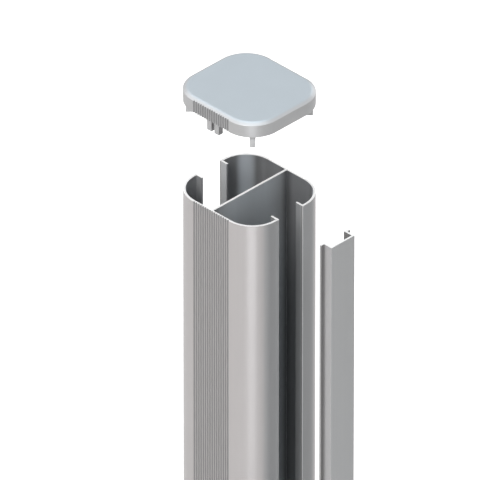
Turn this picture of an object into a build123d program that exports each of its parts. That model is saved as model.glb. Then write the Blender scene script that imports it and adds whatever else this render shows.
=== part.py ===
from build123d import *
import math
import os

# Fence post taken apart: an aluminium extrusion, the cap lifted straight above it and the snap-in
# cover strip drawn out of the slot on its +X side. Millimetres, +Z up, the origin is the middle of
# the post's foot. The slots are in the -X and +X faces, the flutes on the -Y and +Y faces.

# Post extrusion
post_length = 1050.0
section_x = 93.0
section_y = 86.0
corner_radius = 26.0
post_wall = 2.0
web_thickness = 2.0
web_root_radius = 0.8
slot_width = 26.2
slot_edge_radius = 0.5
lip_depth = 7.9
lip_thickness = 1.8

# Flutes, shared by the post and the cap
flute_pitch = 2.5
flute_width = 1.9
flute_depth = 0.9

# Cover strip
strip_side_clearance = 0.1
strip_face_thickness = 1.6
strip_leg_thickness = 1.9
barb_reach = 3.2
barb_thickness = 2.2
barb_lead_in = 0.4
barb_clearance = 0.3
strip_stand_off = 58.0

# Cap
cap_side_height = 10.9
crown_rise = 2.1
crown_run = 3.9
crown_blend_radius = 4.5
plug_clearance = 0.25
plug_reach = 10.7
plate_width = 16.0
plate_thickness = 4.8
plate_taper = 1.8
prong_width = 5.2
prong_depth = 4.8
prong_taper = 0.5
prong_clearance = 0.5
cap_lift = 84.2

# Worked out from the values above
half_x = section_x / 2
half_y = section_y / 2
slot_edge_y = slot_width / 2
corner_x = half_x - corner_radius
corner_y = half_y - corner_radius
flute_count = math.floor(2 * corner_x / flute_pitch)
flute_radius = (flute_width**2 / 4 + flute_depth**2) / (2 * flute_depth)
cap_wall = post_wall + plug_clearance
on_line = 1e-3


def outline(inset=0.0):
    """The rounded rectangle that post and cap share, drawn in by an inset."""
    return RectangleRounded(section_x - 2 * inset, section_y - 2 * inset, corner_radius - inset)


def both_ways(half, plane):
    """A shape together with its mirror image."""
    return half + mirror(half, about=plane)


def flutes():
    """Shallow round-bottomed grooves, side by side along the -Y and +Y faces."""
    row = Pos(0, half_y + flute_radius - flute_depth) * GridLocations(flute_pitch, 0, flute_count, 1)
    return both_ways(Sketch() + row * Circle(flute_radius), Plane.XZ)


def post_section():
    """Fluted tube, central web, and a slot in each X face with a lip turned in at either edge."""
    tube = outline() - outline(post_wall)
    web = Rectangle(web_thickness, section_y - post_wall)
    tube += web
    web_roots = tube.vertices().filter_by(lambda v: abs(abs(v.X) - web_thickness / 2) < on_line)
    tube = fillet(web_roots, web_root_radius)

    lip_centre = Pos(half_x - lip_depth / 2, slot_edge_y + lip_thickness / 2)
    lips = both_ways(both_ways(lip_centre * Rectangle(lip_depth, lip_thickness), Plane.XZ), Plane.YZ)
    mouths = Rectangle(2 * section_x, slot_width) - Rectangle(section_x - 2 * lip_depth, slot_width)
    section = tube + (lips & outline()) - mouths

    slot_corners = section.vertices().filter_by(lambda v: abs(abs(v.Y) - slot_edge_y) < on_line)
    outer_corners = slot_corners.filter_by(lambda v: abs(v.X) > half_x - lip_depth / 2)
    return fillet(outer_corners, slot_edge_radius) - flutes()


def strip_section():
    """Shallow channel that fills the slot mouth, with a barb turned out behind each lip."""
    half_width = slot_edge_y - strip_side_clearance
    leg_inside = half_width - strip_leg_thickness
    shoulder = lip_depth + barb_clearance
    barb_tip = half_width + barb_reach
    barb_back = shoulder + barb_thickness
    half = Polyline(
        (0, 0),
        (0, half_width),
        (-shoulder, half_width),
        (-shoulder, barb_tip),
        (-barb_back + barb_lead_in, barb_tip),
        (-barb_back, barb_tip - barb_lead_in),
        (-barb_back, leg_inside),
        (-strip_face_thickness, leg_inside),
        (-strip_face_thickness, 0),
        close=True,
    )
    return both_ways(make_face(half), Plane.XZ)


def corner_plates():
    """Upright wedges pointing into the cap's corners, which plug into the corners of the tube."""
    outer_end = corner_radius - cap_wall / 2
    across_corner = Plane(origin=(corner_x, corner_y, 0), x_dir=(-1, 1, 0), z_dir=(1, 1, 0))
    half_root = plate_thickness / 2
    half_tip = half_root - plug_reach * math.tan(math.radians(plate_taper))
    wedge = Polygon(
        (-half_root, cap_side_height),
        (-half_root, 0),
        (-half_tip, -plug_reach),
        (half_tip, -plug_reach),
        (half_root, 0),
        (half_root, cap_side_height),
        align=None,
    )
    plate = extrude(across_corner.offset(outer_end - plate_width) * wedge, plate_width)
    plug_space = Pos(0, 0, -plug_reach) * extrude(outline(cap_wall), plug_reach)
    quarter = plate & (plug_space + extrude(outline(cap_wall / 2), cap_side_height))
    return both_ways(both_ways(quarter, Plane.XZ), Plane.YZ)


def prongs():
    """Two prongs at the middle of each fluted side, which stand either side of the post's web."""
    inner_x = web_thickness / 2 + prong_clearance
    centre = Pos(inner_x + prong_width / 2, half_y - cap_wall - prong_depth / 2)
    plan = centre * Rectangle(prong_width, prong_depth)
    quarter = extrude(plan, cap_side_height) + extrude(plan, -plug_reach, taper=prong_taper)
    return both_ways(both_ways(quarter, Plane.XZ), Plane.YZ)


def cap_body():
    """Hollow crowned cap with the post's outline and flutes, its skirt's lower edge at Z 0."""
    shell = extrude(outline(), cap_side_height + crown_rise)
    top = shell.faces().sort_by(Axis.Z)[-1]
    shell = chamfer(top.edges(), crown_run, crown_rise, reference=top)
    shell = fillet(shell.faces().sort_by(Axis.Z)[-1].edges(), crown_blend_radius)
    shell -= extrude(flutes(), cap_side_height + crown_rise)
    shell -= extrude(outline(cap_wall), cap_side_height)
    return shell + corner_plates() + prongs()


parts = {
    "post_profile": extrude(post_section(), post_length),
    "cap": Pos(0, 0, post_length + cap_lift) * cap_body(),
    "cover_strip": Pos(half_x + strip_stand_off, 0, 0) * extrude(strip_section(), post_length),
}

os.makedirs("parts", exist_ok=True)
for node, shape in parts.items():
    export_step(shape, f"parts/{node}.step")
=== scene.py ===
import math
import bpy
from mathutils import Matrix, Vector


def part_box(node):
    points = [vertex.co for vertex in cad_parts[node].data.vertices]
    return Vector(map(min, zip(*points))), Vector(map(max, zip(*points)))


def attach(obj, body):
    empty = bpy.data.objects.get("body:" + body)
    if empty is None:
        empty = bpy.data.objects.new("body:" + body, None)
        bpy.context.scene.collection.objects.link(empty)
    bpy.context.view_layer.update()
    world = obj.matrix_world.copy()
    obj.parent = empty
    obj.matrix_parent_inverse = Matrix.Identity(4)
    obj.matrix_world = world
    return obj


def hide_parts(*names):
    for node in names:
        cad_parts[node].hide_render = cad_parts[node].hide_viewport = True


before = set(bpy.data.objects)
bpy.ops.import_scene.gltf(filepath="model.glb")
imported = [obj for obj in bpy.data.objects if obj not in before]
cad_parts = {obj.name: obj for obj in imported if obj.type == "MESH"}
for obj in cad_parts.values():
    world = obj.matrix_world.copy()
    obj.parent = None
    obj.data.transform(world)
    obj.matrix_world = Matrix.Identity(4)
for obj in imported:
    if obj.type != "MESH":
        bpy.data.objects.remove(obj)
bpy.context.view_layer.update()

# Post
# A hollow aluminium fence post, pressed through a die in one piece with its central web, its two
# slots and their turned-in lips, and the flutes on two faces. The bar is anodised satin silver and
# then sawn to length, which leaves both ends bright.
post_low, post_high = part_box("post_profile")
post_half_x = post_high.x
post_half_y = post_high.y
post_length = post_high.z - post_low.z
corner_radius = 0.026
post_wall = 0.0020
half_web = 0.0010
half_slot = 0.0131
lip_depth = 0.0079
lip_thickness = 0.0018
slot_edge_radius = 0.0005
lip_end_radius = 0.0004
lip_root_radius = 0.0006
web_root_radius = 0.0008
flute_pitch = 0.0025
flute_width = 0.0019
flute_depth = 0.0009
flute_steps = 8
corner_x = post_half_x - corner_radius
corner_y = post_half_y - corner_radius
lip_end_x = post_half_x - lip_depth
lip_back_y = half_slot + lip_thickness
inner_face_x = post_half_x - post_wall
inner_face_y = post_half_y - post_wall
flute_count = math.floor(2 * corner_x / flute_pitch)
flute_end_x = ((flute_count - 1) * flute_pitch + flute_width) / 2
same_point = 1e-6


class Wire:
    """A socket in a node tree. Sums with it add Math nodes, and node() adds any other kind."""

    def __init__(self, tree, socket=None):
        self.tree = tree
        self.socket = socket

    def node(self, kind, settings=None, values=None, output=0):
        node = self.tree.nodes.new(kind)
        for name, value in (settings or {}).items():
            setattr(node, name, value)
        for name, value in (values or {}).items():
            for item in value if isinstance(value, list) else [value]:
                if isinstance(item, Wire):
                    self.tree.links.new(item.socket, node.inputs[name])
                else:
                    node.inputs[name].default_value = item
        return Wire(self.tree, node.outputs[output])

    def sum(self, operation, *values):
        return self.node("ShaderNodeMath", {"operation": operation}, dict(enumerate(values)))

    def __add__(self, other):
        return self.sum("ADD", self, other)

    def __radd__(self, other):
        return self.sum("ADD", other, self)

    def __sub__(self, other):
        return self.sum("SUBTRACT", self, other)

    def __rsub__(self, other):
        return self.sum("SUBTRACT", other, self)

    def __mul__(self, other):
        return self.sum("MULTIPLY", self, other)

    def __rmul__(self, other):
        return self.sum("MULTIPLY", other, self)

    def __truediv__(self, other):
        return self.sum("DIVIDE", self, other)

    def __abs__(self):
        return self.sum("ABSOLUTE", self)

    def root(self):
        return self.sum("SQRT", self)

    def sine(self):
        return self.sum("SINE", self)

    def whole(self):
        return self.sum("FLOOR", self)

    def at_least(self, limit):
        return self.sum("MAXIMUM", self, limit)

    def step(self, low, high):
        """0 below low, 1 above high, smooth between them."""
        values = {"Value": self, "From Min": low, "From Max": high}
        return self.node("ShaderNodeMapRange", {"interpolation_type": "SMOOTHSTEP"}, values)

    def scaled(self, factor):
        """This colour times a number."""
        values = {0: self, "Scale": factor}
        return self.node("ShaderNodeVectorMath", {"operation": "SCALE"}, values)

    def mix(self, first, second):
        """Two colours mixed, where this wire is the second one's share."""
        values = {0: self, 6: first, 7: second}
        return self.node("ShaderNodeMix", {"data_type": "RGBA"}, values, 2)

    def axes(self, wanted):
        """This place's values along the wanted axes, such as "XZ"."""
        return [self.node("ShaderNodeSeparateXYZ", None, {"Vector": self}, axis) for axis in wanted]


def new_tree(name, sizes):
    """A Geometry Nodes tree with named inputs: its wire, its geometry and the sizes by name."""
    tree = bpy.data.node_groups.new(name, "GeometryNodeTree")
    kinds = {
        float: "NodeSocketFloat",
        int: "NodeSocketInt",
        bpy.types.Material: "NodeSocketMaterial",
        bpy.types.Object: "NodeSocketObject",
    }
    for way in ("INPUT", "OUTPUT"):
        tree.interface.new_socket("Geometry", in_out=way, socket_type="NodeSocketGeometry")
    for size, value in sizes.items():
        tree.interface.new_socket(size, in_out="INPUT", socket_type=kinds[type(value)])
    entry = tree.nodes.new("NodeGroupInput")
    given = {socket.name: Wire(tree, socket) for socket in entry.outputs if socket.name}
    return Wire(tree), given


def close_tree(start, geometry, material):
    """Ends a tree with plain geometry in its one material."""
    plain = start.node("GeometryNodeRealizeInstances", None, {"Geometry": geometry})
    values = {"Geometry": plain, "Material": material}
    painted = start.node("GeometryNodeSetMaterial", None, values)
    leave = start.tree.nodes.new("NodeGroupOutput")
    start.tree.links.new(painted.socket, leave.inputs["Geometry"])


def made_plain(piece, tree, sizes):
    """Runs a tree on the piece with these sizes and keeps the result as its plain mesh."""
    crease = math.radians(35)
    modifier = piece.modifiers.new(tree.name, "NODES")
    modifier.node_group = tree
    for item in tree.interface.items_tree:
        if item.in_out == "INPUT" and item.name in sizes:
            modifier[item.identifier] = sizes[item.name]
    shown = piece.evaluated_get(bpy.context.evaluated_depsgraph_get())
    mesh = bpy.data.meshes.new_from_object(shown)
    piece.modifiers.remove(modifier)
    mesh.name = piece.name
    piece.data = mesh
    piece.data.shade_smooth()
    piece.data.set_sharp_from_angle(angle=crease)


def new_piece(name, points, edges, faces):
    """An object with this mesh, linked to the scene."""
    mesh = bpy.data.meshes.new(name)
    mesh.from_pydata(points, edges, faces)
    piece = bpy.data.objects.new(name, mesh)
    bpy.context.scene.collection.objects.link(piece)
    return piece


def drawn(name, outline, height, closed):
    """A line of loose edges through the outline's points (x, y, corner radius)."""
    points = [(x, y, height) for x, y, radius in outline]
    edges = [(i, i + 1) for i in range(len(outline) - 1)]
    if closed:
        edges.append((len(outline) - 1, 0))
    line = new_piece(name, points, edges, [])
    radii = line.data.attributes.new("corner_radius", "FLOAT", "POINT")
    radii.data.foreach_set("value", [radius for x, y, radius in outline])
    return line


def rounded(start, mesh):
    """Turns drawn edges into a curve and rounds each corner to the radius it carries."""
    points_per_metre = 1200
    least_points = 4
    curve = start.node("GeometryNodeMeshToCurve", None, {"Mesh": mesh})
    kind = {"data_type": "FLOAT"}
    radius = start.node("GeometryNodeInputNamedAttribute", kind, {"Name": "corner_radius"})
    count = radius * points_per_metre + least_points
    values = {"Curve": curve, "Radius": radius, "Count": count, "Limit Radius": True}
    return start.node("GeometryNodeFilletCurve", {"mode": "POLY"}, values)


def mirrored(start, geometry, x=1.0, y=1.0):
    """The geometry mirrored across the axes whose factor is -1."""
    values = {"Geometry": geometry, "Scale": (x, y, 1.0)}
    return start.node("GeometryNodeTransform", None, values)


def welded(start, geometry, distance):
    """The geometry with all points that lie this close together made one."""
    values = {"Geometry": geometry, "Distance": distance}
    return start.node("GeometryNodeMergeByDistance", None, values)


def pressed(start, closed_curve, length):
    """The solid that a die of this outline presses: two sawn ends and the wall between them."""
    end = start.node("GeometryNodeFillCurve", {"mode": "NGONS"}, {"Curve": closed_curve})
    values = {"Mesh": end, "Offset Scale": length, "Individual": False}
    wall = start.node("GeometryNodeExtrudeMesh", None, values)
    foot = start.node("GeometryNodeFlipFaces", None, {"Mesh": end})
    both = start.node("GeometryNodeJoinGeometry", None, {"Geometry": [wall, foot]})
    return welded(start, both, same_point)


def flute_row(start, given):
    """The round-bottomed flutes of the +Y face as one line, in the order that they stand."""
    half_width = given["Flute Width"] / 2
    ends = []
    for x, depth in ((-1 * half_width, 0.0), (0.0, given["Flute Depth"]), (half_width, 0.0)):
        ends.append(start.node("ShaderNodeCombineXYZ", None, {"X": x, "Y": given["Face"] - depth}))
    values = {"Start": ends[0], "Middle": ends[1], "End": ends[2]}
    values["Resolution"] = given["Flute Steps"] + 1
    flute = start.node("GeometryNodeCurveArc", {"mode": "POINTS"}, values)

    first_x = (1 - given["Flute Count"]) * given["Flute Pitch"] / 2
    first = start.node("ShaderNodeCombineXYZ", None, {"X": first_x})
    pitch = start.node("ShaderNodeCombineXYZ", None, {"X": given["Flute Pitch"]})
    values = {"Count": given["Flute Count"], "Start Location": first, "Offset": pitch}
    places = start.node("GeometryNodeMeshLine", {"mode": "OFFSET"}, values)
    values = {"Points": places, "Instance": flute}
    flutes = start.node("GeometryNodeInstanceOnPoints", None, values)
    flutes = start.node("GeometryNodeRealizeInstances", None, {"Geometry": flutes})

    points = start.node("GeometryNodeCurveToPoints", {"mode": "EVALUATED"}, {"Curve": flutes})
    [along] = start.node("GeometryNodeInputPosition").axes("X")
    return start.node("GeometryNodePointsToCurves", None, {"Points": points, "Weight": along})


def post_tree(sizes):
    """Half the outline is drawn. The tree mirrors it and closes it with two rows of flutes."""
    same_end = 10 * same_point
    start, given = new_tree("post_die", sizes)
    half = rounded(start, given["Geometry"])
    row = flute_row(start, given)
    lines = [half, mirrored(start, half, x=-1.0), row, mirrored(start, row, y=-1.0)]
    lines = start.node("GeometryNodeJoinGeometry", None, {"Geometry": lines})
    lines = start.node("GeometryNodeCurveToMesh", None, {"Curve": lines})
    lines = welded(start, lines, same_end)
    outline = start.node("GeometryNodeMeshToCurve", None, {"Mesh": lines})
    close_tree(start, pressed(start, outline, given["Length"]), given["Material"])
    return start.tree


def new_material(name, shader):
    """A material whose Principled shader takes these values, and its wire for adding nodes."""
    material = bpy.data.materials.new(name)
    material.use_nodes = True
    principled = material.node_tree.nodes["Principled BSDF"]
    for socket, value in shader.items():
        principled.inputs[socket].default_value = value
    return material, Wire(material.node_tree), principled


def feed(principled, sockets):
    """Links wires to the Principled shader's sockets."""
    for socket, wire in sockets.items():
        principled.id_data.links.new(wire.socket, principled.inputs[socket])


def stretched_noise(place, scale, detail):
    """Noise drawn out along the axes that have the smaller scales."""
    values = {0: place, 1: scale}
    stretched = place.node("ShaderNodeVectorMath", {"operation": "MULTIPLY"}, values)
    values = {"Vector": stretched, "Scale": 1.0, "Detail": detail}
    return place.node("ShaderNodeTexNoise", None, values)


def satin_anodised(name, tone_at, dull_at=None):
    """Anodised aluminium with die lines along Z and bright sawn ends. Its tone is given by place,
    and so is the share of its sheen that it lacks."""
    sheen = 0.35
    dulled_by = 0.32
    sawn_tone = (0.98, 0.98, 0.98, 1.0)
    die_scale = (1100.0, 1100.0, 1.5)
    film_scale = (60.0, 60.0, 6.0)
    blade_radius = 0.18
    saw_mark_scale = 9000.0
    saw_mark_height = 0.3

    material, start, principled = new_material(name, {"Metallic": sheen})
    place = start.node("ShaderNodeTexCoord", None, None, "Object")
    die_lines = stretched_noise(place, die_scale, 3.0)
    film = stretched_noise(place, film_scale, 2.0)

    [upright] = start.node("ShaderNodeNewGeometry", None, None, "True Normal").axes("Z")
    sawn = abs(upright).step(0.6, 0.8)
    blade_x, blade_y = [value + blade_radius for value in place.axes("XY")]
    from_blade = (blade_x * blade_x + blade_y * blade_y).root()
    saw_marks = (from_blade * saw_mark_scale).sine()

    streaks = die_lines * 0.06 + film * 0.05 + 0.945
    colour = sawn.mix(tone_at(place).scaled(streaks), sawn_tone)
    roughness = 0.29 + die_lines * 0.06 + sawn * 0.14
    relief = die_lines * (1 - sawn) + saw_marks * sawn * saw_mark_height
    values = {"Height": relief, "Strength": 0.12, "Distance": 0.00006}
    bump = start.node("ShaderNodeBump", None, values)
    feed(principled, {"Base Color": colour, "Roughness": roughness, "Normal": bump})
    if dull_at:
        feed(principled, {"Metallic": sheen - dull_at(place) * dulled_by})
    return material


def past_corner(x, y):
    """How far a point lies past the centre of its corner's rounding, along X and along Y."""
    return (abs(x) - corner_x).at_least(0.0), (abs(y) - corner_y).at_least(0.0)


def behind_face(x, y):
    """How far a point lies behind the rounded outline that post and cap share, in metres."""
    past_x, past_y = past_corner(x, y)
    return corner_radius - (past_x * past_x + past_y * past_y).root()


def inside_wall(behind):
    """1 on the wall's inner side, 0 on its outer side and in the flutes."""
    return behind.step(0.0012, 0.0018)


def on_slotted_face(place):
    """1 on the two faces that hold the slots, 0 once the corner has turned away from them."""
    turned_away = 0.0036
    full = 0.0008
    [x] = place.axes("X")
    return abs(x).step(post_half_x - turned_away, post_half_x - full)


def post_tone(place):
    """Pale on the rounded faces. Painted shade makes the slotted ones a little darker and the
    flutes dark, and a painted highlight runs along each slot's edge. Inside, the tube carries
    painted shade: dark walls, less dark lips, and a web that darkens by the walls and at its roots,
    with painted light on its inner corners and its web and at its two mouths."""
    face = (0.535, 0.512, 0.510, 1.0)
    # painted shade: the slotted faces take a darker tone than the rounded faces
    slotted_face_shade = (0.475, 0.480, 0.488, 1.0)
    # painted highlight: a pale line along each slot's rounded edge
    slot_edge_highlight = (0.95, 0.95, 0.96, 1.0)
    # painted shade: the flutes' hollows take a dark tone
    flute = (0.27, 0.268, 0.27, 1.0)
    # painted shade: the tube's inner walls, its lips, the web by the walls and the web's roots take
    # dark tones
    inner_wall_shade = (0.245, 0.248, 0.256, 1.0)
    # painted highlight: a pale band down the middle of each inner corner
    inner_corner_highlight = (0.63, 0.67, 0.71, 1.0)
    # painted light: the web takes a paler tone than the inner walls
    web = (0.585, 0.625, 0.655, 1.0)
    web_shade_by_wall = (0.34, 0.35, 0.36, 1.0)
    web_root_shade = (0.13, 0.135, 0.14, 1.0)
    shaded_lip = (0.350, 0.358, 0.366, 1.0)
    mouth_depth = 0.031
    # painted light: the inside is made paler within mouth_depth of each sawn end
    mouth_light_gain = 0.32
    web_fades_from = 0.0160
    soft_edge = 0.0002

    x, y, z = place.axes("XYZ")
    past_x, past_y = past_corner(x, y)
    behind = behind_face(x, y)
    from_end = post_length / 2 - abs(z - post_length / 2)
    at_mouth = 1 - from_end.step(0.0, mouth_depth)
    in_corner = (past_x * past_y * (2 / corner_radius**2)).step(0.62, 0.88)
    on_slot_edge = 1 - abs(y).step(half_slot + slot_edge_radius / 2, half_slot + slot_edge_radius)
    past_slotted = post_half_x - slot_edge_radius
    on_slot_edge = on_slot_edge * abs(x).step(past_slotted, past_slotted + slot_edge_radius * 2 / 3)
    on_web = 1 - abs(x).step(half_web + soft_edge / 2, half_web + soft_edge * 1.5)
    # painted shade on the web towards the walls, except near the mouths
    by_wall = abs(y).step(web_fades_from, post_half_y)
    by_wall = by_wall * (1 - from_end.step(mouth_depth, 3 * mouth_depth))
    # painted shade at the web's roots, where it meets the walls
    at_root = abs(y).step(post_half_y - 0.0100, post_half_y - 0.0010)
    at_root = at_root * (1 - abs(x).step(0.0005, 0.0090))
    on_lip = 1 - abs(y).step(lip_back_y, lip_back_y + soft_edge)
    on_lip = on_lip * abs(x).step(lip_end_x - soft_edge, lip_end_x)

    outside = on_slotted_face(place).mix(face, slotted_face_shade)
    outside = on_slot_edge.mix(outside, slot_edge_highlight)
    outside = behind.step(0.00002, 0.0006).mix(outside, flute)
    inside = in_corner.mix(inner_wall_shade, inner_corner_highlight)
    inside = on_web.mix(inside, by_wall.mix(web, web_shade_by_wall))
    inside = at_root.mix(inside, web_root_shade)
    inside = on_lip.mix(inside, shaded_lip)
    return inside_wall(behind).mix(outside, inside.scaled(1 + at_mouth * mouth_light_gain))


half_outline = [
    (flute_end_x, post_half_y, 0.0),
    (post_half_x, post_half_y, corner_radius),
    (post_half_x, half_slot, slot_edge_radius),
    (lip_end_x, half_slot, lip_end_radius),
    (lip_end_x, lip_back_y, lip_end_radius),
    (inner_face_x, lip_back_y, lip_root_radius),
    (inner_face_x, inner_face_y, corner_radius - post_wall),
    (half_web, inner_face_y, web_root_radius),
]
half_outline += [(x, -y, radius) for x, y, radius in reversed(half_outline)]
post = drawn("post", half_outline, post_low.z, closed=False)
post_metal = satin_anodised("post_anodised", post_tone, on_slotted_face)
post_sizes = {
    "Length": post_length,
    "Face": post_half_y,
    "Flute Count": flute_count,
    "Flute Pitch": flute_pitch,
    "Flute Width": flute_width,
    "Flute Depth": flute_depth,
    "Flute Steps": flute_steps,
    "Material": post_metal,
}
made_plain(post, post_tree(post_sizes), post_sizes)
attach(post, "post")
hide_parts("post_profile")

# Cover strip
# A shallow aluminium channel from its own die, anodised like the post. Its two legs spring inwards
# as it is pressed into a slot, and the barbs on them then hold behind the post's lips.
strip_low, strip_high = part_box("cover_strip")
strip_clearance = 0.0001
strip_half_width = half_slot - strip_clearance
strip_face_thickness = 0.0016
strip_leg_thickness = 0.0019
barb_thickness = 0.0022
barb_lead_in = 0.0004
strip_edge_radius = 0.0003
strip_inner_radius = 0.0004
barb_edge_radius = 0.0002
strip_back_x = strip_low.x
strip_ceiling_x = strip_high.x - strip_face_thickness
shoulder_x = strip_back_x + barb_thickness
leg_inside_y = strip_half_width - strip_leg_thickness

half_strip = [
    (strip_high.x, strip_half_width, strip_edge_radius),
    (shoulder_x, strip_half_width, strip_inner_radius),
    (shoulder_x, strip_high.y, strip_edge_radius),
    (strip_back_x + barb_lead_in, strip_high.y, barb_edge_radius),
    (strip_back_x, strip_high.y - barb_lead_in, barb_edge_radius),
    (strip_back_x, leg_inside_y, strip_edge_radius),
    (strip_ceiling_x, leg_inside_y, strip_inner_radius),
]
strip_outline = half_strip + [(x, -y, radius) for x, y, radius in reversed(half_strip)]
strip = drawn("strip", strip_outline, strip_low.z, closed=True)


def strip_tree(sizes):
    """The whole outline is drawn, so the tree only rounds and presses it."""
    start, given = new_tree("strip_die", sizes)
    outline = rounded(start, given["Geometry"])
    close_tree(start, pressed(start, outline, given["Length"]), given["Material"])
    return start.tree


def strip_tone(place):
    """Pale on the show face; painted shade makes the legs a little darker, and the inside and the
    shoulders dark.
    """
    show_face = (0.49, 0.495, 0.50, 1.0)
    # painted shade: the legs take a darker tone than the show face, and the inside and the
    # shoulders a dark one
    shaded_leg = (0.46, 0.455, 0.46, 1.0)
    shaded = (0.25, 0.245, 0.245, 1.0)
    soft_edge = 0.0002

    x, y = place.axes("XY")
    face_from_x = strip_high.x - strip_edge_radius
    on_face = x.step(face_from_x, face_from_x + strip_edge_radius * 2 / 3)
    between_legs = (1 - abs(y).step(leg_inside_y, leg_inside_y + soft_edge)) * (1 - on_face)
    by_shoulder = x.step(shoulder_x - 0.0003, shoulder_x - 0.0001)
    by_shoulder = by_shoulder * (1 - x.step(shoulder_x + 0.0002, shoulder_x + 0.0014))
    return between_legs.at_least(by_shoulder).mix(on_face.mix(shaded_leg, show_face), shaded)


strip_metal = satin_anodised("strip_anodised", strip_tone)
strip_sizes = {"Length": strip_high.z - strip_low.z, "Material": strip_metal}
made_plain(strip, strip_tree(strip_sizes), strip_sizes)
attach(strip, "post")
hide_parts("cover_strip")

# Cap
# One injection moulding in silver-grey plastic with a fine matt texture: a crowned shell with the
# post's outline and flutes, four corner plates that plug into the tube and four prongs that stand
# either side of the web. Its top is left bare.
cap_low, cap_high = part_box("cap")
plug_reach = 0.0107
cap_side_height = 0.0109
crown_rise = 0.0021
crown_run = 0.0039
crown_blend_radius = 0.0045
cap_wall = post_wall + 0.00025
plate_width = 0.016
plate_root = 0.0048
plate_taper = math.radians(1.8)
prong_width = 0.0052
prong_depth = 0.0048
prong_taper = math.radians(0.5)
prong_inner_x = half_web + 0.0005
moulded_edge = 0.0003
ceiling_radius = 0.0006
seat_gap = 0.00003
rib_let_in = 0.0003
arc_steps = 24
skirt_z = cap_low.z + plug_reach
side_top_z = skirt_z + cap_side_height
plate_end = corner_radius - cap_wall
plate_start = plate_end + cap_wall / 2 - plate_width
prong_end = post_half_y - cap_wall
prong_start = prong_end - prong_depth


def cap_outline():
    """The outline's points as (x, y, outward x, outward y, depth of the flute there)."""
    points = []
    flute_radius = (flute_width**2 / 4 + flute_depth**2) / (2 * flute_depth)
    half_turn = math.asin(flute_width / 2 / flute_radius)
    for side in (-1, 1):
        for flute in range(flute_count):
            centre = (flute - (flute_count - 1) / 2) * flute_pitch
            for step in range(flute_steps + 1):
                turn = half_turn * (2 * step / flute_steps - 1)
                along = centre + flute_radius * math.sin(turn)
                depth = flute_radius * (math.cos(turn) - math.cos(half_turn))
                points.append((-side * along, side * post_half_y, 0, side, depth))
        for corner in range(2):
            centre_x = -side * corner_x
            centre_y = side * corner_y * (1 - 2 * corner)
            for step in range(arc_steps + 1):
                turn = math.radians(90 * (side + corner) + 90 * step / arc_steps)
                out_x = math.cos(turn)
                out_y = math.sin(turn)
                x = centre_x + corner_radius * out_x
                y = centre_y + corner_radius * out_y
                points.append((x, y, out_x, out_y, 0.0))
    return points


def arc(centre, radius, first, last, steps):
    """Points (inset, height) along an arc, from one angle to the other in degrees."""
    turns = [math.radians(first + (last - first) * i / steps) for i in range(steps + 1)]
    x, y = centre
    return [(x + radius * math.cos(turn), y + radius * math.sin(turn)) for turn in turns]


def cap_profile():
    """The wall's section as (inset, height above the skirt's edge), top first, ceiling last."""
    edge_steps = 4
    blend_steps = 8
    bevel_steps = 8
    bevel_step = flute_depth / 6
    side_lap = 0.0001
    flat_inset = corner_radius - 0.004
    top = cap_side_height + crown_rise
    slope = math.atan2(crown_rise, crown_run)
    blend_inset = crown_run + crown_blend_radius * math.tan(slope / 2)
    blend = (blend_inset, top - crown_blend_radius)
    edge_height = seat_gap + moulded_edge
    outer_edge = (moulded_edge, edge_height)
    inner_edge = (cap_wall - moulded_edge, edge_height)
    ceiling_edge = (cap_wall + ceiling_radius, cap_side_height - ceiling_radius)

    path = [(flat_inset, top)]
    path += arc(blend, crown_blend_radius, 90, 90 + math.degrees(slope), blend_steps)
    for i in range(bevel_steps, 0, -1):
        path.append((bevel_step * i, cap_side_height + bevel_step * i * math.tan(slope)))
    path.append((0.0, cap_side_height - side_lap))
    path += arc(outer_edge, moulded_edge, 180, 270, edge_steps)
    path += arc(inner_edge, moulded_edge, 270, 360, edge_steps)
    path += arc(ceiling_edge, ceiling_radius, 180, 90, edge_steps)
    path.append((flat_inset, cap_side_height))
    return path


def ring_shell(name):
    """The shell: one ring of the outline at each point of the section, joined and closed flat."""
    outline = cap_outline()
    profile = cap_profile()
    count = len(outline)
    last = (len(profile) - 1) * count
    vertices = []
    for inset, height in profile:
        for x, y, out_x, out_y, depth in outline:
            inwards = max(inset, depth)
            vertices.append((x - out_x * inwards, y - out_y * inwards, skirt_z + height))
    faces = []
    for ring in range(0, last, count):
        for i in range(count):
            here = ring + i
            there = ring + (i + 1) % count
            faces.append((here, here + count, there + count, there))
    faces.append(tuple(range(count)))
    faces.append(tuple(reversed(range(last, last + count))))
    return new_piece(name, vertices, [], faces)


def rib(name, inner, outer, root, taper):
    """An upright rib along X from inner to outer, thinner towards its tip, let into wall and
    ceiling."""
    top = cap_side_height + rib_let_in
    buried_x = outer + cap_wall / 2
    buried_z = moulded_edge * 2
    side = [(inner, top), (inner, 0.0), (inner, -plug_reach), (outer, -plug_reach)]
    side += [(outer, 0.0), (outer, buried_z), (buried_x, buried_z), (buried_x, top)]
    above = [0, 1, 4, 5, 6, 7]
    below = [1, 2, 3, 4]
    count = len(side)
    vertices = []
    for way in (-1, 1):
        for x, height in side:
            half = root / 2 + min(height, 0.0) * math.tan(taper)
            vertices.append((x, way * half, skirt_z + height))
    faces = [above, below]
    faces += [[i + count for i in reversed(face)] for face in (above, below)]
    for i in range(count):
        after = (i + 1) % count
        faces.append((after, i, i + count, after + count))
    piece = new_piece(name, vertices, [], faces)
    edges = piece.modifiers.new("edges", "BEVEL")
    edges.width = moulded_edge
    edges.segments = 3
    edges.limit_method = "ANGLE"
    return piece


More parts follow.
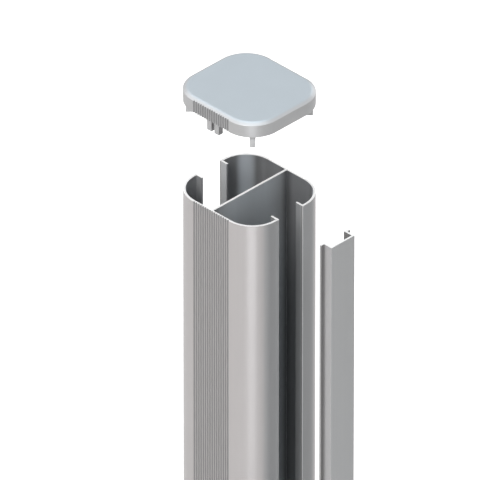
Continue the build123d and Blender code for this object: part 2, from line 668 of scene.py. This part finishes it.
def moulding_tree(sizes):
    """Sets the plates at the four corners and the prongs at the flutes' middle, and unites them."""
    start, given = new_tree("moulding", sizes)
    index = start.node("GeometryNodeInputIndex")
    quarter = math.radians(90)
    pair = (index / 2).whole()
    turns = {"Plate": index * quarter + quarter / 2, "Prong": pair * 2 * quarter + quarter}
    solids = [given["Geometry"]]
    for kind, turn in turns.items():
        values = {"Width": given[kind + " Span X"], "Height": given[kind + " Span Y"]}
        places = start.node("GeometryNodeCurvePrimitiveQuadrilateral", None, values)
        values = {"Object": given[kind]}
        pattern = start.node("GeometryNodeObjectInfo", None, values, "Geometry")
        rotation = start.node("ShaderNodeCombineXYZ", None, {"Z": turn})
        values = {"Points": places, "Instance": pattern, "Rotation": rotation}
        solids.append(start.node("GeometryNodeInstanceOnPoints", None, values))
    union = {"operation": "UNION", "solver": "EXACT"}
    whole = start.node("GeometryNodeMeshBoolean", union, {"Mesh 2": solids})
    close_tree(start, welded(start, whole, same_point), given["Material"])
    return start.tree


def cap_tone(place):
    """Pale on the side, with painted cool light on the bevelled edge and the crowned top, and
    painted shade in the flutes, on the prongs' sides and where the plates stand in the skirt's
    shadow."""
    side = (0.495, 0.495, 0.50, 1.0)
    # painted light: the bevel and the crown take cooler tones than the side, as from the cool light
    # above
    bevel_light = (0.505, 0.515, 0.530, 1.0)
    crown_light = (0.482, 0.540, 0.587, 1.0)
    # painted shade: the flutes' hollows take a dark tone
    flute = (0.26, 0.26, 0.265, 1.0)
    shaded = (0.27, 0.265, 0.27, 1.0)
    shadow_share = 0.6
    past_prongs_x = 0.0080
    before_plates_x = 0.0200
    soft_edge = 0.0002

    x, y, z = place.axes("XYZ")
    behind = behind_face(x, y)
    on_bevel = z.step(side_top_z - soft_edge, side_top_z + 0.0003)
    on_crown = z.step(side_top_z + crown_rise * 0.3, side_top_z + crown_rise)
    in_flute = behind.step(0.00002, 0.0005) * (1 - inside_wall(behind))
    in_flute = in_flute * (1 - z.step(side_top_z - soft_edge, side_top_z))
    on_prong = 1 - abs(x).step(past_prongs_x, past_prongs_x + 0.0005)
    on_prong = on_prong * (1 - z.step(skirt_z - 0.0004, skirt_z))
    # painted shade on the prongs' sides, which the skirt and the other prong shadow
    prong_side_shade = on_prong * (1 - abs(y).step(prong_end - 0.0003, prong_end - 0.0001))
    in_shadow = z.step(skirt_z - 0.0038, skirt_z - 0.0024)
    in_shadow = in_shadow * (1 - z.step(skirt_z - soft_edge, skirt_z))
    plate_shadow = in_shadow * abs(x).step(before_plates_x, before_plates_x + 0.0005)

    tone = on_bevel.mix(side, bevel_light)
    tone = on_crown.mix(tone, crown_light)
    tone = in_flute.mix(tone, flute)
    tone = prong_side_shade.mix(tone, shaded)
    return (plate_shadow * shadow_share).mix(tone, shaded)


def moulded_plastic(name, tone_at):
    """Silver-grey plastic with the fine, even grain of an eroded mould, its tone given by place."""
    sheen = 0.46
    grain_scale = 2600.0
    cloud_scale = 45.0

    material, start, principled = new_material(name, {"Metallic": sheen})
    place = start.node("ShaderNodeTexCoord", None, None, "Object")
    values = {"Vector": place, "Scale": grain_scale, "Detail": 2.0}
    grain = start.node("ShaderNodeTexNoise", None, values)
    values = {"Vector": place, "Scale": cloud_scale, "Detail": 2.0}
    cloud = start.node("ShaderNodeTexNoise", None, values)
    colour = tone_at(place).scaled(0.96 + cloud * 0.05 + grain * 0.03)
    roughness = 0.32 + grain * 0.08
    values = {"Height": grain, "Strength": 0.15, "Distance": 0.00005}
    bump = start.node("ShaderNodeBump", None, values)
    feed(principled, {"Base Color": colour, "Roughness": roughness, "Normal": bump})
    return material


cap = ring_shell("cap_moulding")
plate = rib("plate", plate_start, plate_end, plate_root, plate_taper)
prong = rib("prong", prong_start, prong_end, prong_width, prong_taper)
cap_plastic = moulded_plastic("cap_plastic", cap_tone)
cap_sizes = {
    "Plate": plate,
    "Plate Span X": 2 * corner_x,
    "Plate Span Y": 2 * corner_y,
    "Prong": prong,
    "Prong Span X": 2 * prong_inner_x + prong_width,
    "Prong Span Y": 0.0,
    "Material": cap_plastic,
}
made_plain(cap, moulding_tree(cap_sizes), cap_sizes)
for pattern in (plate, prong):
    bpy.data.objects.remove(pattern)
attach(cap, "cap")
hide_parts("cap")

# Studio
# A pale floor that keeps the object's shadow, soft lamps from the front and above, and a long lens
# at the photograph's angle, so that upright edges stay parallel.
camera_azimuth = math.radians(45.055)
camera_elevation = math.radians(33.794)
picture_side = 0.37958
picture_pixels = 480
rim_centre_pixel = (249.386, 189.839)
rim_centre = Vector((0.0, 0.0, post_high.z))


def direction(azimuth, elevation):
    """The unit vector towards a place seen from the object. Azimuth 0 is -Y, a quarter turn +X."""
    level = math.cos(elevation)
    return Vector((math.sin(azimuth) * level, -math.cos(azimuth) * level, math.sin(elevation)))


back = direction(camera_azimuth, camera_elevation)
facing = back.to_track_quat("Z", "Y")
pixel = picture_side / picture_pixels
aim = rim_centre
aim = aim - facing @ Vector((1, 0, 0)) * (rim_centre_pixel[0] - picture_pixels / 2) * pixel
aim = aim + facing @ Vector((0, 1, 0)) * (rim_centre_pixel[1] - picture_pixels / 2) * pixel
lens = bpy.data.cameras.new("camera")
lens.lens = 1600
lens.sensor_width = 36
distance = picture_side * lens.lens / lens.sensor_width
lens.clip_end = 4 * distance
camera = bpy.data.objects.new("camera", lens)
camera.location = aim + back * distance
camera.rotation_mode = "QUATERNION"
camera.rotation_quaternion = facing
bpy.context.scene.collection.objects.link(camera)
bpy.context.scene.camera = camera


def ray_kinds(start):
    """1 on rays from the camera, and 1 on rays that metal or glass mirrors or lets through."""
    names = ("Is Camera Ray", "Is Glossy Ray", "Is Transmission Ray")
    seen, glossy, through = [start.node("ShaderNodeLightPath", None, None, name) for name in names]
    return seen, glossy.at_least(through)


floor_half = 60.0
floor_grey = (0.8, 0.8, 0.8, 1.0)
glow_by_post = 0.45
glow_far_off = 0.90
glow_in_metal = 0.5
glow_rises_from = 0.3
glow_full_at = 1.1
quarters = ((-1, -1), (1, -1), (1, 1), (-1, 1))
floor_corners = [(x * floor_half, y * floor_half, post_low.z) for x, y in quarters]
floor = new_piece("floor", floor_corners, [], [(0, 1, 2, 3)])
shader = {"Base Color": floor_grey, "Roughness": 0.9, "Emission Strength": 1.0}
paper, start, principled = new_material("floor_paper", shader)
place = start.node("ShaderNodeTexCoord", None, None, "Object")
from_post = start.node("ShaderNodeVectorMath", {"operation": "LENGTH"}, {0: place}, "Value")
rising = from_post.step(glow_rises_from, glow_full_at)
seen, in_metal = ray_kinds(start)
glow = seen * (glow_by_post + rising * (glow_far_off - glow_by_post)) + in_metal * glow_in_metal
feed(principled, {"Emission Color": glow})
floor.data.materials.append(paper)

lamp_target = Vector((0.0, 0.0, 0.9))


def soft_lamp(name, azimuth, elevation, reach, width, height, power, colour):
    """A soft box that looks at the upper part of the post, its two angles in degrees."""
    lamp = bpy.data.lights.new(name, "AREA")
    lamp.shape = "RECTANGLE"
    lamp.size = width
    lamp.size_y = height
    lamp.energy = power
    lamp.color = colour
    box = bpy.data.objects.new(name, lamp)
    towards = direction(math.radians(azimuth), math.radians(elevation))
    box.location = lamp_target + towards * reach
    box.rotation_mode = "QUATERNION"
    box.rotation_quaternion = towards.to_track_quat("Z", "Y")
    box.visible_camera = False
    bpy.context.scene.collection.objects.link(box)


soft_lamp("left_box", 5, 46, 3.0, 1.6, 1.6, 45, (1.0, 0.975, 0.955))
soft_lamp("front_box", 30, 40, 3.0, 1.4, 1.4, 6, (1.0, 1.0, 1.0))
soft_lamp("side_box", 68, 48, 3.0, 1.4, 1.4, 7, (0.96, 0.985, 1.0))
soft_lamp("top_box", 0, 88, 2.6, 1.8, 1.8, 16, (0.88, 0.96, 1.0))
soft_lamp("corner_box", 43, -26, 1.5, 0.70, 0.4, 1.65, (0.94, 0.97, 1.0))
soft_lamp("rear_box", 190, 22, 3.0, 1.6, 1.6, 9, (1.0, 1.0, 1.0))
soft_lamp("far_box", 280, 50, 3.0, 1.4, 1.4, 8, (1.0, 0.99, 0.985))

world = bpy.data.worlds.new("world")
world.use_nodes = True
bpy.context.scene.world = world
air = Wire(world.node_tree)
air_light = 0.22
seen, in_metal = ray_kinds(air)
air_strength = air_light + seen.at_least(in_metal) * (1.0 - air_light)
background = world.node_tree.nodes["Background"]
background.inputs["Color"].default_value = (1.0, 1.0, 1.0, 1.0)
world.node_tree.links.new(air_strength.socket, background.inputs["Strength"])

bpy.context.scene.view_settings.view_transform = "Standard"
